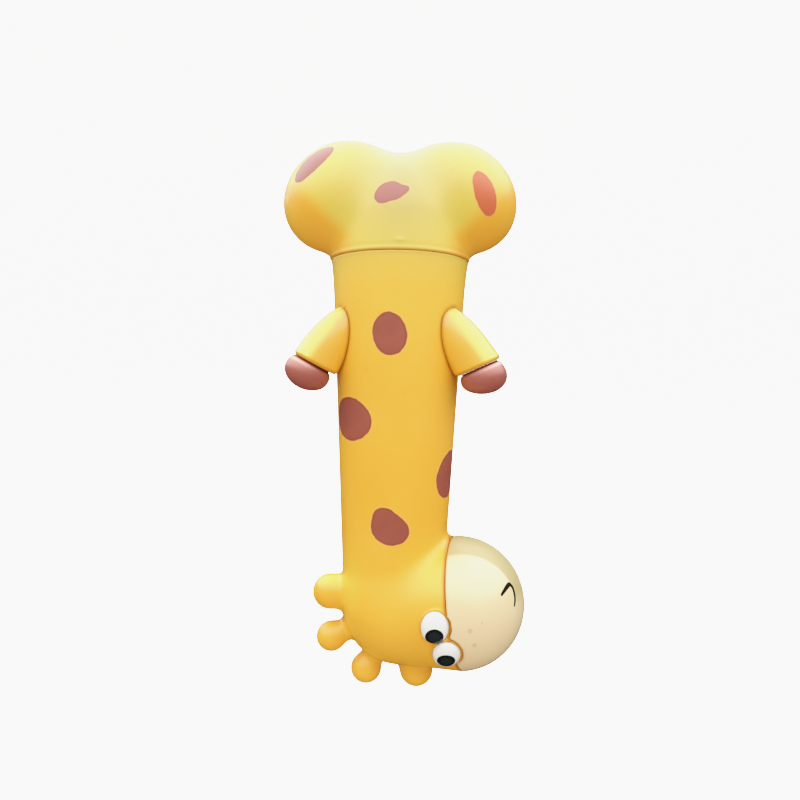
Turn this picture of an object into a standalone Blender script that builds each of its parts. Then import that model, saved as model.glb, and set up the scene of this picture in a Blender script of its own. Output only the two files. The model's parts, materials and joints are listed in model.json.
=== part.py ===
"""Giraffe figurine: a soft vinyl giraffe that stands on the two round lobes of its base.

Run it with blender --background --python part.py, or from Blender's text editor. Units are metres, +Z is
up, and the origin is on the ground under the middle of the figure. The muzzle points to -X, and the eyes
look out to -Y. A field here is a function that gives each point of an array a number, negative inside the
shape and growing outwards like a distance.
"""

import math

import bmesh
import bpy
import numpy as np
from mathutils import Matrix, Vector

MM = 0.001
GAP = 0.3 * MM  # between two pieces that touch
AXIS_X = 2.1 * MM  # the column's axis; the muzzle overhangs the other side of the origin
AXIS_Y = 0.9 * MM
LOBES_X = 2.4 * MM  # midway between the lobes

# The base: two egg-shaped lobes, long ways up and outwards, with the hips between them, cut flat for the
# ground and for the body.
LOBE_SIZES = (22.8 * MM, 21.9 * MM, 19.5 * MM)
LOBE_TILT = math.radians(32.5)
LOBE_SPREAD = 21.3 * MM
LOBE_HEIGHTS = {1: 18.9 * MM, -1: 18.35 * MM}
LOBE_BLEND = 4.95 * MM
HIP_RADIUS = 25.9 * MM
HIP_HEIGHT = 28.6 * MM
SEAM_HEIGHT = 42.4 * MM

# The column of the body and neck: it narrows upwards, and flares a little just above the seam.
COLUMN_RADIUS = 24.7 * MM
COLUMN_TAPER = 0.0515
SEAM_FLARE = 0.7 * MM
SEAM_FLARE_HEIGHT = 5.0 * MM

# The head: a ball that widens towards the muzzle, where it is cut flat.
HEAD_X = -0.9 * MM
HEAD_HEIGHT = 169.0 * MM
HEAD_RADIUS = 21.6 * MM
HEAD_BLEND = 4.0 * MM
RIM = (-22.4 * MM, -2.0 * MM, 167.4 * MM)
RIM_RADIUS = 24.1 * MM
CHIN_X = -21.5 * MM  # just outside the angle of the chin and the column
CHIN_HEIGHT = 140.5 * MM

# The muzzle: a little more than half a ball on the rim, turned to the front and nodding down.
MUZZLE_RADIUS = 24.2 * MM
MUZZLE_DEPTH = -0.5 * MM  # from the rim to the ball's centre
MUZZLE_TURN = math.radians(14.7)
MUZZLE_NOD = math.radians(7.5)

# The crest, in the plane of the column's axis: each knob's end (x, z), end radius and neck radius.
KNOBS = {
    "front_ear": (-7.1 * MM, 193.3 * MM, 6.1 * MM, 6.3 * MM),
    "front_horn": (11.5 * MM, 193.0 * MM, 5.6 * MM, 4.2 * MM),
    "back_horn": (24.6 * MM, 181.6 * MM, 5.5 * MM, 4.4 * MM),
    "back_ear": (25.3 * MM, 165.0 * MM, 6.4 * MM, 6.4 * MM),
}

# The eyes: egg-shaped domes half sunk in the head, each on a low lid. Each eye has a place along the head
# and an angle round it, from straight ahead towards up.
EYES = {
    "eye_lower": (-12.5 * MM, math.radians(6.0)),
    "eye_upper": (-16.8 * MM, math.radians(31.3)),
}
EYE_HALF_WIDTH = 4.9 * MM
EYE_HALF_HEIGHT = 5.7 * MM
EYE_BULGE = 2.8 * MM
EYE_RAISE = 0.4 * MM
LID_RIM = 0.5 * MM
LID_BULGE = 1.6 * MM

# The arms: round stubs that reach up and out from the front of the column. Each arm has a side, an end
# (distance from the column's axis, y, height), how steeply it and its end face point up, how far down it
# its root starts to round off and ends, and its hoof's shift outwards and skew.
ARMS = {
    "left": (1, (29.8 * MM, -9.3 * MM, 81.3 * MM), (56.2, 62.7), (5.0 * MM, 25.9 * MM), (0.95 * MM, 0.03)),
    "right": (-1, (28.9 * MM, -10.9 * MM, 81.4 * MM), (53.5, 65.2), (8.9 * MM, 28.2 * MM), (0.25 * MM, 0.15)),
}
ARM_END_RADIUS = 8.6 * MM
ARM_FLARE = math.radians(-1.0)
ARM_EDGE = 1.5 * MM

# The hooves: buns set over the arms' ends.
HOOF_RADIUS = 8.4 * MM
HOOF_SOLE_RADIUS = 6.85 * MM
HOOF_WAIST = 3.4 * MM
HOOF_HEIGHT = 9.5 * MM
HOOF_GAP = 0.6 * MM
HOOF_NECK = 5.2 * MM  # the stub that joins a hoof to its arm

YELLOW = (0.84, 0.46, 0.055)
CREAM = (0.84, 0.72, 0.50)
BROWN = (0.38, 0.095, 0.075)
WHITE = (0.86, 0.86, 0.88)

HEAD_CENTRE = np.array((HEAD_X, AXIS_Y, HEAD_HEIGHT))
RIM_CENTRE = np.array(RIM)
RIM_DISTANCE = np.linalg.norm(RIM_CENTRE - HEAD_CENTRE)
HEAD_AXIS = (RIM_CENTRE - HEAD_CENTRE) / RIM_DISTANCE
MUZZLE_AXIS = np.array(
    (
        -math.cos(MUZZLE_TURN) * math.cos(MUZZLE_NOD),
        -math.sin(MUZZLE_TURN) * math.cos(MUZZLE_NOD),
        -math.sin(MUZZLE_NOD),
    )
)


# ---- fields ----


def smooth_min(a, b, blend):
    """The smaller of two fields, with a fillet about as wide as blend where they meet."""
    share = np.clip(0.5 + 0.5 * (b - a) / blend, 0.0, 1.0)
    return b + (a - b) * share - blend * share * (1.0 - share)


def ball(points, centre, radius):
    return np.linalg.norm(points - np.array(centre), axis=-1) - radius


def egg_field(points, half_sizes):
    """An ellipsoid about the origin: k (k - 1) / m, with k and m the lengths of p / r and p / r squared."""
    half_sizes = np.array(half_sizes)
    k = np.linalg.norm(points / half_sizes, axis=-1)
    m = np.linalg.norm(points / half_sizes**2, axis=-1)
    return k * (k - 1.0) / np.maximum(m, 1e-9)


def column_radius(height):
    """A straight taper, plus the flare, which fades above the seam."""
    rise = height - SEAM_HEIGHT
    flare = SEAM_FLARE * np.exp(-np.maximum(rise, 0.0) / SEAM_FLARE_HEIGHT)
    return COLUMN_RADIUS - COLUMN_TAPER * rise + flare


def column(points):
    return np.hypot(points[..., 0] - AXIS_X, points[..., 1] - AXIS_Y) - column_radius(points[..., 2])


def base_field(points):
    """The hips under the column, with a lobe blended in on either side."""
    hips = ball(points, (AXIS_X, AXIS_Y, HIP_HEIGHT), HIP_RADIUS)
    stub = np.maximum(column(points), HIP_HEIGHT - points[..., 2])
    stub = np.maximum(stub, points[..., 2] - SEAM_HEIGHT - LOBE_BLEND)
    field = np.minimum(hips, stub)
    for side, height in LOBE_HEIGHTS.items():
        x, y, z = np.moveaxis(points - (LOBES_X + side * LOBE_SPREAD, AXIS_Y, height), -1, 0)
        c, s = math.cos(LOBE_TILT), side * math.sin(LOBE_TILT)
        lobe = egg_field(np.stack((c * x + s * z, y, c * z - s * x), axis=-1), LOBE_SIZES)
        field = smooth_min(field, lobe, LOBE_BLEND)
    return field


def head(points):
    """A ball carried from the head's centre past the rim's, while its radius grows to the rim's."""
    share = np.clip((points - HEAD_CENTRE) @ HEAD_AXIS / RIM_DISTANCE, 0.0, 1.08)
    centre = HEAD_CENTRE + share[..., None] * RIM_DISTANCE * HEAD_AXIS
    radius = HEAD_RADIUS + share * (RIM_RADIUS - HEAD_RADIUS)
    return np.linalg.norm(points - centre, axis=-1) - radius


def body_field(points):
    neck = np.maximum(column(points), points[..., 2] - HEAD_HEIGHT)
    return smooth_min(neck, head(points), HEAD_BLEND)


def cast(field, starts, directions, reach):
    """The points where rays from inside the shape leave it, found by halving reach."""
    low = np.zeros(directions.shape[:-1])
    high = np.full_like(low, reach)
    for _ in range(32):
        middle = (low + high) / 2
        inside = field(starts + middle[..., None] * directions) < 0
        low = np.where(inside, middle, low)
        high = np.where(inside, high, middle)
    return starts + low[..., None] * directions


# ---- meshes ----


def circle(count):
    """Unit directions round +Z, one row for each."""
    angle = np.arange(count) * 2 * np.pi / count
    return np.stack((np.cos(angle), np.sin(angle), np.zeros(count)), axis=1)


def turn_up(flat, elevation):
    """Level directions raised by each elevation: one ring of directions for each."""
    lift = np.array((0.0, 0.0, 1.0))
    return np.cos(elevation)[:, None, None] * flat + np.sin(elevation)[:, None, None] * lift


def skin(rings, first=None, last=None):
    """A closed mesh over rings of points. An end closes at a point, or flat if it has none."""
    rows, count = rings.shape[:2]
    bm = bmesh.new()
    grid = [[bm.verts.new(point) for point in ring] for ring in rings]
    for lower, upper in zip(grid, grid[1:]):
        for i in range(count):
            j = (i + 1) % count
            bm.faces.new((lower[i], lower[j], upper[j], upper[i]))
    for ring, pole in ((grid[0], first), (grid[-1], last)):
        if pole is None:
            bm.faces.new(ring)
            continue
        tip = bm.verts.new(pole)
        for i in range(count):
            bm.faces.new((ring[i], ring[(i + 1) % count], tip))
    bmesh.ops.recalc_face_normals(bm, faces=bm.faces)
    mesh = bpy.data.meshes.new("skin")
    bm.to_mesh(mesh)
    bm.free()
    return mesh


def along(direction):
    """The rotation that takes +Z to a direction, and keeps +Y where the direction is level in X and Z."""
    z_axis = Vector(direction).normalized()
    x_axis = Vector((0.0, 1.0, 0.0)).cross(z_axis).normalized()
    return Matrix((x_axis, z_axis.cross(x_axis), z_axis)).transposed().to_4x4()


def solid(name, mesh, matrix=Matrix()):
    """A named object, with its place and turn worked into its mesh."""
    mesh.transform(matrix)
    mesh.name = name
    obj = bpy.data.objects.new(name, mesh)
    bpy.context.scene.collection.objects.link(obj)
    return obj


def helper(name, mesh, matrix=Matrix()):
    """A shape that is only joined to a piece or cut from one."""
    obj = solid(name, mesh, matrix)
    obj.hide_render = True
    obj.display_type = "WIRE"
    return obj


def boolean(obj, other, operation, solver="EXACT"):
    modifier = obj.modifiers.new(f"{operation.title()} {other.name}", "BOOLEAN")
    modifier.operation = operation
    modifier.solver = solver
    modifier.object = other


def finish(obj, colour, roughness):
    """The piece's own material, and smooth shading up to its sharp edges."""
    material = bpy.data.materials.new(f"{obj.name}_vinyl")
    material.use_nodes = True
    shader = material.node_tree.nodes["Principled BSDF"]
    shader.inputs["Base Color"].default_value = (*colour, 1.0)
    shader.inputs["Roughness"].default_value = roughness
    shader.inputs["Metallic"].default_value = 0.0
    obj.data.materials.append(material)
    obj.data.shade_smooth()
    obj.data.set_sharp_from_angle(angle=math.radians(40))
    return obj


def box(half, centre):
    """A plain box for cutting a flat face."""
    bm = bmesh.new()
    bmesh.ops.create_cube(bm, size=2.0)
    bm.transform(Matrix.Translation(centre) @ Matrix.Diagonal((*half, 1.0)))
    mesh = bpy.data.meshes.new("box")
    bm.to_mesh(mesh)
    bm.free()
    return mesh


def egg(half_sizes, around, rows):
    """An ellipsoid about the origin."""
    elevation = (np.arange(1, rows) / rows - 0.5) * np.pi
    rings = turn_up(circle(around), elevation) * np.array(half_sizes)
    return skin(rings, (0, 0, -half_sizes[2]), (0, 0, half_sizes[2]))


# ---- pieces ----


def make_base():
    """The lobed base, flat underneath each lobe and flat where the body sits on it."""
    elevation = (np.arange(1, 32) / 32 - 0.5) * np.pi
    directions = turn_up(circle(50), elevation)
    centre = np.array((AXIS_X, AXIS_Y, HIP_HEIGHT))
    reach = 50 * MM
    rings = cast(base_field, centre, directions, reach)
    poles = cast(base_field, centre, np.array(((0, 0, -1.0), (0, 0, 1.0))), reach)
    base = solid("base", skin(rings, poles[0], poles[1]))
    half = (60 * MM, 40 * MM, 20 * MM)
    ground = helper("ground_cut", box(half, (0, 0, -half[2])))
    top = SEAM_HEIGHT - GAP / 2 + half[2]
    seam = helper("seam_cut", box(half, (0, 0, top)))
    boolean(base, ground, "DIFFERENCE")
    boolean(base, seam, "DIFFERENCE")
    return finish(base, YELLOW, 0.35)


def body_mesh():
    """Level rings up the column, then rings that fan about a line under the chin until they pass the rim."""
    flat = circle(40)
    reach = 60 * MM
    spread = np.linspace(0.0, 1.0, 10)[:-1] ** 2
    heights = SEAM_HEIGHT + GAP / 2 + (CHIN_HEIGHT - SEAM_HEIGHT) * spread
    starts = np.stack((0 * heights + AXIS_X, 0 * heights + AXIS_Y, heights), axis=1)[:, None]
    column_rings = cast(body_field, starts, np.broadcast_to(flat, (len(heights), 40, 3)), reach)
    turn = np.linspace(0, math.radians(105), 19)
    outwards = np.stack((np.cos(turn), 0 * turn, np.sin(turn)), axis=1)[:, None]
    starts = np.array((CHIN_X, AXIS_Y, CHIN_HEIGHT)) + (AXIS_X - CHIN_X) * outwards
    directions = flat[:, :1] * outwards + flat[:, 1:2] * np.array((0.0, 1.0, 0.0))
    head_rings = cast(body_field, starts, directions, reach)
    return skin(np.concatenate((column_rings, head_rings)))


def knob_mesh(length, end_radius, neck_radius):
    """A turned knob along +Z that ends in a ball about z = length."""
    neck_angle = math.asin(min(1.0, neck_radius / end_radius))
    neck_height = length - end_radius * math.cos(neck_angle)
    angles = np.linspace(math.pi - neck_angle, 0, 8)[:-1]
    heights = np.concatenate(([0.0], length + end_radius * np.cos(angles)))
    radii = np.concatenate(([neck_radius + 0.1 * neck_height], end_radius * np.sin(angles)))
    flat = circle(18)
    rings = radii[:, None, None] * flat
    rings[..., 2] = heights[:, None]
    return skin(rings, None, (0, 0, length + end_radius))


def eye_place(place):
    """The frame of an eye: its width along the head, its height round it, and its bulge outwards."""
    x, angle = place
    share = (HEAD_X - x) / (HEAD_X - RIM[0])
    reach = HEAD_RADIUS + share * (RIM_RADIUS - HEAD_RADIUS)
    outwards = Vector((0.0, -math.cos(angle), math.sin(angle)))
    width = Vector((1.0, 0.0, 0.0))
    turn = Matrix((width, outwards.cross(width), outwards)).transposed().to_4x4()
    centre = Vector(HEAD_CENTRE + share * (RIM_CENTRE - HEAD_CENTRE))
    return Matrix.Translation(centre + reach * outwards) @ turn


def lid_mesh(extra):
    return egg(
        (
            EYE_HALF_WIDTH + LID_RIM + extra,
            EYE_HALF_HEIGHT + LID_RIM + extra,
            LID_BULGE + extra,
        ),
        22,
        8,
    )


def make_body():
    """Column, head, crest and lids in one piece, with pockets for the eyes."""
    body = solid("body", body_mesh())
    seat = Matrix.Translation(Vector(RIM_CENTRE)) @ along(MUZZLE_AXIS)
    half = 30 * MM
    rim_cut = helper("rim_cut", box((half, half, half), (0, 0, half - GAP / 2)), seat)
    boolean(body, rim_cut, "DIFFERENCE")
    for name, (x, z, end_radius, neck_radius) in KNOBS.items():
        end = Vector((x, AXIS_Y, z))
        axis = end - Vector(HEAD_CENTRE)
        if name == "back_ear":
            axis = Vector((1.0, 0.0, 0.0))
        root = end - 18 * MM * axis.normalized()
        length = (end - root).length
        mesh = knob_mesh(length, end_radius, neck_radius)
        knob = helper(name, mesh, Matrix.Translation(root) @ along(axis))
        boolean(body, knob, "UNION")
    for name, place in EYES.items():
        lid = helper(f"{name}_lid", lid_mesh(0.0), eye_place(place))
        boolean(body, lid, "UNION", "MANIFOLD")
    for name, place in EYES.items():
        pocket = helper(f"{name}_pocket", eye_mesh(GAP), eye_place(place))
        boolean(body, pocket, "DIFFERENCE", "MANIFOLD")
    return finish(body, YELLOW, 0.35)


def eye_mesh(extra):
    mesh = egg((EYE_HALF_WIDTH + extra, EYE_HALF_HEIGHT + extra, EYE_BULGE + extra), 22, 8)
    mesh.transform(Matrix.Translation((0, 0, EYE_RAISE)))
    return mesh


def make_eyes():
    for name, place in EYES.items():
        finish(solid(name, eye_mesh(0.0), eye_place(place)), WHITE, 0.2)


def make_muzzle():
    """A ball cut flat behind, and hollowed a little under the lids."""
    back = math.acos(-(MUZZLE_DEPTH - GAP / 2) / MUZZLE_RADIUS)
    angles = np.linspace(back, 0, 15)[:-1]
    rings = MUZZLE_RADIUS * np.sin(angles)[:, None, None] * circle(36)
    rings[..., 2] = MUZZLE_RADIUS * np.cos(angles)[:, None]
    centre = RIM_CENTRE + MUZZLE_DEPTH * MUZZLE_AXIS
    place = Matrix.Translation(Vector(centre)) @ along(MUZZLE_AXIS)
    muzzle = solid("muzzle", skin(rings, None, (0, 0, MUZZLE_RADIUS)), place)
    for name, eye in EYES.items():
        relief = helper(f"{name}_relief", lid_mesh(GAP), eye_place(eye))
        boolean(muzzle, relief, "DIFFERENCE")
    for name, eye in EYES.items():
        relief = helper(f"{name}_clearance", eye_mesh(GAP), eye_place(eye))
        boolean(muzzle, relief, "DIFFERENCE")
    return finish(muzzle, CREAM, 0.35)


def arm_place(arm, slope):
    """A frame at the arm's end: +Z points up at the slope, and +X away from the column on the left arm."""
    side, (out, y, height) = arm[:2]
    end = Vector((AXIS_X + side * out, y, height))
    rise = math.radians(slope)
    return Matrix.Translation(end) @ along((side * math.cos(rise), 0.0, math.sin(rise)))


def make_arm(name, arm, sleeve):
    """A round bar with a rounded edge round its slanting end and an egg-shaped root, cut to the column."""
    side, _, (slope, end_slope), (straight, length) = arm[:4]
    turns = np.linspace(0, np.pi / 2, 9)[1:]
    root = straight + (length - straight) * np.cos(turns)
    steps = np.concatenate((root, np.linspace(straight, ARM_EDGE, 4)[1:]))
    nose = np.concatenate((np.sin(turns), np.ones(3)))
    bends = np.linspace(0, np.pi / 2, 4)[1:]
    bar = (ARM_END_RADIUS + math.tan(ARM_FLARE) * steps) * nose
    edge = ARM_END_RADIUS - ARM_EDGE * (1 - np.cos(bends))
    radii = np.concatenate((bar, edge))
    heights = np.concatenate((-steps, -ARM_EDGE * (1 - np.sin(bends))))
    rings = radii[:, None, None] * circle(24)
    slant = math.tan(math.radians(end_slope - slope)) * side
    rings[..., 2] = heights[:, None] + slant * rings[..., 0]
    arm_piece = solid(f"arm_{name}", skin(rings, (0, 0, -length)), arm_place(arm, slope))
    boolean(arm_piece, sleeve, "DIFFERENCE")
    return finish(arm_piece, YELLOW, 0.35)


def make_hoof(name, arm):
    """A bun: a quarter round up from its flat sole to its widest ring, then a dome, higher outwards. A
    stub under it reaches down to the arm's end."""
    lower = np.linspace(0, np.pi / 2, 4)
    upper = np.linspace(0, np.pi / 2, 8)[1:-1]
    spread = HOOF_RADIUS - HOOF_SOLE_RADIUS
    radii = np.concatenate((HOOF_SOLE_RADIUS + spread * np.sin(lower), HOOF_RADIUS * np.cos(upper)))
    dome = HOOF_HEIGHT - HOOF_WAIST
    heights = np.concatenate((HOOF_WAIST * (1 - np.cos(lower)), HOOF_WAIST + dome * np.sin(upper)))
    rings = radii[:, None, None] * circle(24)
    side, (shift, skew) = arm[0], arm[4]
    outwards = side * rings[..., 0] / HOOF_RADIUS
    rings[..., 2] = HOOF_GAP + heights[:, None] * (1 + skew * outwards)
    neck = np.array((HOOF_NECK, HOOF_NECK))[:, None, None] * circle(24)
    neck[..., 2] = np.array((GAP, HOOF_GAP))[:, None]
    mesh = skin(np.concatenate((neck, rings)), (0, 0, GAP), (0, 0, HOOF_GAP + HOOF_HEIGHT))
    mesh.transform(Matrix.Translation((side * shift, 0, 0)))
    place = arm_place(arm, arm[2][1])
    return finish(solid(f"hoof_{name}", mesh, place), BROWN, 0.4)


def main():
    for obj in list(bpy.data.objects):
        bpy.data.objects.remove(obj)
    make_base()
    make_body()
    make_eyes()
    make_muzzle()
    heights = np.linspace(38 * MM, 100 * MM, 9)
    sleeve_rings = (column_radius(heights) + GAP)[:, None, None] * circle(40)
    sleeve_rings[..., 2] = heights[:, None]
    sleeve = helper("sleeve", skin(sleeve_rings), Matrix.Translation((AXIS_X, AXIS_Y, 0)))
    for name, arm in ARMS.items():
        make_arm(name, arm, sleeve)
        make_hoof(name, arm)


main()
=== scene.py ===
"""Giraffe figurine: the finished look of a soft vinyl giraffe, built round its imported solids.

The sizes are metres, +Z is up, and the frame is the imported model's. Every piece of the figure is one
surface with its own procedural vinyl or paint. A field here is a function that gives each point of an
array a number, negative inside the shape and growing outwards like a distance.
"""

import json
import math
from collections import namedtuple

import bpy
import numpy as np
from bpy.props import FloatProperty, FloatVectorProperty, PointerProperty
from mathutils import Matrix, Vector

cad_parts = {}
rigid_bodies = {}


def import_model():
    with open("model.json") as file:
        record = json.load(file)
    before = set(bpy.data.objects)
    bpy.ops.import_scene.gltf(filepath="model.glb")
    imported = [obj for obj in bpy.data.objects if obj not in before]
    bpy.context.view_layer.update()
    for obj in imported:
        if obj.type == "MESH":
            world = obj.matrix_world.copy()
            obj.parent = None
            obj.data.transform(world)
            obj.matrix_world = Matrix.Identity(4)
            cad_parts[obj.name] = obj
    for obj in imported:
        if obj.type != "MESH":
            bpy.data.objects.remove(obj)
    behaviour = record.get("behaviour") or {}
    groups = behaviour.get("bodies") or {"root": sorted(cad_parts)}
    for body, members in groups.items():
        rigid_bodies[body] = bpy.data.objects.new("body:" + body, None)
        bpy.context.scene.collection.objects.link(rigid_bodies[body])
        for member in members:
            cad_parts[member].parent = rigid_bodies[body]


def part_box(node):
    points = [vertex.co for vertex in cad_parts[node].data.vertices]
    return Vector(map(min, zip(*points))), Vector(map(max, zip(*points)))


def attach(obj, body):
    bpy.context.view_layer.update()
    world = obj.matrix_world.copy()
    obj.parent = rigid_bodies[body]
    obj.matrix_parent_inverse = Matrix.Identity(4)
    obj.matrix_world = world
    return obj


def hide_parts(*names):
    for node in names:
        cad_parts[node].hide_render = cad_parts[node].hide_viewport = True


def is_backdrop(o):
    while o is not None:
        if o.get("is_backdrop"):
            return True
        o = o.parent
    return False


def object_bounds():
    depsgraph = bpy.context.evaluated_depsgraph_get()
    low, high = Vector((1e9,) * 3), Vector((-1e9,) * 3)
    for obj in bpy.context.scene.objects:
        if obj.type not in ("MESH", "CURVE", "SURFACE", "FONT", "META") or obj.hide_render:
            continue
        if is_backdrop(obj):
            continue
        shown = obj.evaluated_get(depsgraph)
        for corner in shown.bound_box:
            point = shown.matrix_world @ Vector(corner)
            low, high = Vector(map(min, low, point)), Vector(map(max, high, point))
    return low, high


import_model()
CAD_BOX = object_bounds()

bl_info = {
    "name": "Giraffe Figurine",
    "version": (1, 0, 0),
    "blender": (4, 5, 0),
    "location": "3D View > Sidebar > Giraffe",
    "description": "Makes a soft vinyl giraffe figurine piece by piece, and its studio",
    "category": "Object",
}

MM = 0.001
DEGREE = math.pi / 180
RIGHT, UP = np.array((1.0, 0.0, 0.0)), np.array((0.0, 0.0, 1.0))


def direction(turn, rise=0.0):
    """The unit direction at an angle from straight ahead (-Y) towards +X, and a rise, both in degrees."""
    turn, rise = turn * DEGREE, rise * DEGREE
    return np.array((math.sin(turn) * math.cos(rise), -math.cos(turn) * math.cos(rise), math.sin(rise)))


GAP = 0.3 * MM  # between an arm and the column
JOINT = 0.12 * MM  # between two skins pressed together
EDGE = 0.35 * MM  # the rounding of a skin's edge at a joint
INSET = 0.12 * MM  # how far the base's skin lies inside its solid
REACH = 60 * MM  # longer than any way from a piece's middle to its skin
FAR = 1.0  # a distance past every mark

# The column's upright axis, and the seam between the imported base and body.
AXIS_X, AXIS_Y = 2.1 * MM, 0.9 * MM
BODY_LOW, BODY_HIGH = (np.array(corner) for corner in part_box("body"))
SEAM_HEIGHT = (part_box("base")[1][2] + BODY_LOW[2]) / 2

# The base: two egg-shaped lobes, long ways up and outwards, the hips, and a stub of the column.
LOBE_SIZES = np.array((22.8, 21.9, 19.5)) * MM
LOBE_TILT = 32.5 * DEGREE
LOBES_X, LOBE_SPREAD = 2.4 * MM, 21.3 * MM  # the middle between the lobes, and how far they are from it
LOBE_HEIGHTS = {1: 18.9 * MM, -1: 18.35 * MM}
LOBE_BLEND = 4.95 * MM
SOLE_EDGE = 1.2 * MM
HIP_RADIUS = 25.85 * MM
HIPS = np.array((AXIS_X, AXIS_Y, 28.6 * MM))

# What stands out of the base under the seam: how far, its depth below the seam, and half its width.
BEAD = (0.12 * MM, 0.7 * MM, 0.4 * MM)
DIP = (-0.07 * MM, 1.9 * MM, 0.7 * MM)
NUB = (0.3 * MM, 3.4 * MM, 0.7 * MM)
NUB_REACH = 1.3 * MM

# The column and the head.
COLUMN_RADIUS = 24.7 * MM
COLUMN_TAPER = 0.0515
SEAM_FLARE, SEAM_FLARE_HEIGHT = 0.7 * MM, 5.0 * MM
HEAD_CENTRE = np.array((-0.9 * MM, AXIS_Y, 169.0 * MM))
HEAD_RADIUS = 21.6 * MM
HEAD_BLEND = 4.0 * MM
HEAD_END = 1.08  # how far the head's ball is carried, in shares of the way to the rim's middle
NECK_TOP, NECK_ROUNDING = 2 * MM, 5 * MM  # how far the column reaches above the head's middle
RIM_CENTRE = np.array((-22.4, -2.0, 167.4)) * MM
RIM_RADIUS = 24.1 * MM
CHIN_HEIGHT = 137.4 * MM  # the seat of the muzzle is cut above this

# The muzzle: its ball's middle lies a little behind the rim's, along its axis.
MUZZLE_RADIUS = 24.15 * MM
MUZZLE_AXIS = direction(-75.3, -7.5)
MUZZLE_CENTRE = RIM_CENTRE - 0.5 * MM * MUZZLE_AXIS
MUZZLE_HEART = RIM_CENTRE + 6 * MM * MUZZLE_AXIS  # where its rays start
LID_GAP = 0.2 * MM  # between the muzzle and the eyelids

# The crest: each knob's end (x, z), end radius and neck radius, in millimetres. The last one is level, and
# the others point away from the head's middle.
KNOBS = ((-7.1, 193.29, 6.1, 6.1), (11.5, 193.0, 5.6, 4.1), (24.6, 181.6, 5.5, 4.2), (25.3, 165, 6.45, 6.45))
KNOB_LENGTH = 18 * MM
KNOB_BLEND = 2.2 * MM

# The eyes: place along the head, and degrees round it from straight ahead towards up; how far up the eye
# its pupil is painted; and how much wider its lid is on the muzzle's side.
Eye = namedtuple("Eye", "x angle pupil_height lid_wider")
EYES = {
    "eye_lower": Eye(-12.5 * MM, 6.0, 2.7 * MM, 0.9 * MM),
    "eye_upper": Eye(-16.8 * MM, 31.3, 0.9 * MM, 0.45 * MM),
}
EYE_SIZES = np.array((4.85, 5.65, 2.74)) * MM
EYE_RAISE = 0.4 * MM
LID_RIM, LID_BULGE, LID_BLEND = 0.5 * MM, 1.6 * MM, 0.8 * MM
POCKET_GAP, POCKET_EDGE = 0.05 * MM, 0.4 * MM
PUPIL_SHIFT, PUPIL_RADIUS = 0.2 * MM, 3.15 * MM

# The arms: side; end (distance from the column's axis, y, height); how steeply the arm and its end face
# point up, in degrees; how far down it its root starts to round off and ends; its hoof's shift and skew.
Arm = namedtuple("Arm", "side end lean face_lean root_start root_end hoof_shift hoof_skew")
ARMS = {
    "left": Arm(1, (29.8 * MM, -9.3 * MM, 81.3 * MM), 56.2, 62.7, 5.0 * MM, 25.9 * MM, 0.95 * MM, 0.03),
    "right": Arm(-1, (28.9 * MM, -10.9 * MM, 81.4 * MM), 53.5, 65.2, 8.9 * MM, 28.2 * MM, 0.25 * MM, 0.15),
}
ARM_END_RADIUS = 8.55 * MM
ARM_FLARE = -1.0 * DEGREE
ARM_EDGE = 1.5 * MM
# A hoof: its widest and its sole's radius, its stub's; the heights of its widest ring and its top above its
# sole, of its sole above the arm's end, and of its stub's root.
HOOF_RADIUS, HOOF_SOLE_RADIUS, HOOF_NECK = 8.35 * MM, 6.85 * MM, 6.8 * MM
HOOF_WAIST, HOOF_HEIGHT, HOOF_GAP, HOOF_ROOT = 3.4 * MM, 9.5 * MM, 0.5 * MM, 0.05 * MM

# The painted spots, in degrees and millimetres. On the column: angle from straight ahead, height, half width,
# half height, lean. On the base: lobe, angle, elevation, half width, half height, lean. Some have a second
# blob blended in: its shift across and up, its half width and half height.
COLUMN_SPOTS = (
    (7.4, 70.8, 6.0, 7.5, 9.0),
    (49.5, 100.5, 9.6, 7.7, -10.5),
    (-68.0, 119.8, 7.5, 9.2, -37.0),
    (4.1, 138.7, 6.7, 5.4, -11.5, (2.2, -4.1, 4.1, 3.7)),
    (128.0, 128.0, 7.0, 8.6, 20.0),
    (176.0, 108.0, 8.0, 7.0, 35.0),
    (-128.0, 92.0, 7.2, 8.6, -15.0),
    (150.0, 76.0, 6.8, 8.0, 10.0),
    (-160.0, 146.0, 7.4, 6.4, 30.0),
    (-122.0, 60.0, 6.0, 5.4, 0.0),
)
BASE_SPOTS = (
    (1, 31.6, -23.7, 9.0, 4.9, 51.0),
    (0, 11.0, -13.3, 5.0, 3.5, 38.0, (-4.5, -0.1, 3.5, 1.8)),
    (-1, -22.5, 8.0, 4.0, 8.0, 25.0),
    (1, 140.0, 0.0, 5.0, 8.0, 25.0),
    (-1, -145.0, -5.0, 7.5, 4.5, 25.0),
    (0, 178.0, 5.0, 5.5, 4.0, 15.0),
)
SPOT_BLEND = 2.5 * MM
NO_SPOT = 10 * MM  # farther from any spot than its halo reaches

# The base's middle gets a greenish-yellow highlight painted where light from below falls: its half width low
# down and near the seam, how far under the seam that is, how its sides slant, and how softly they fade. The
# painted sheen is strongest in the middle and low down, over these distances.
HIGHLIGHT_WIDTH, HIGHLIGHT_TOP_WIDTH, HIGHLIGHT_TOP_DEPTH = 18 * MM, 14 * MM, 2.5 * MM
HIGHLIGHT_SLANT = 0.94
HIGHLIGHT_FADE = 4.5 * MM
SHEEN_ACROSS, SHEEN_DOWN = 15 * MM, 28 * MM
# Left of this the base's spot is warmer, and just above the seam the column has a greenish-yellow highlight
# and a pale sheen painted on.
WARM_START, WARM_FADE = -10 * MM, 6 * MM
SEAM_HIGHLIGHT, SEAM_SHEEN = 14 * MM, 7 * MM
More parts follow.
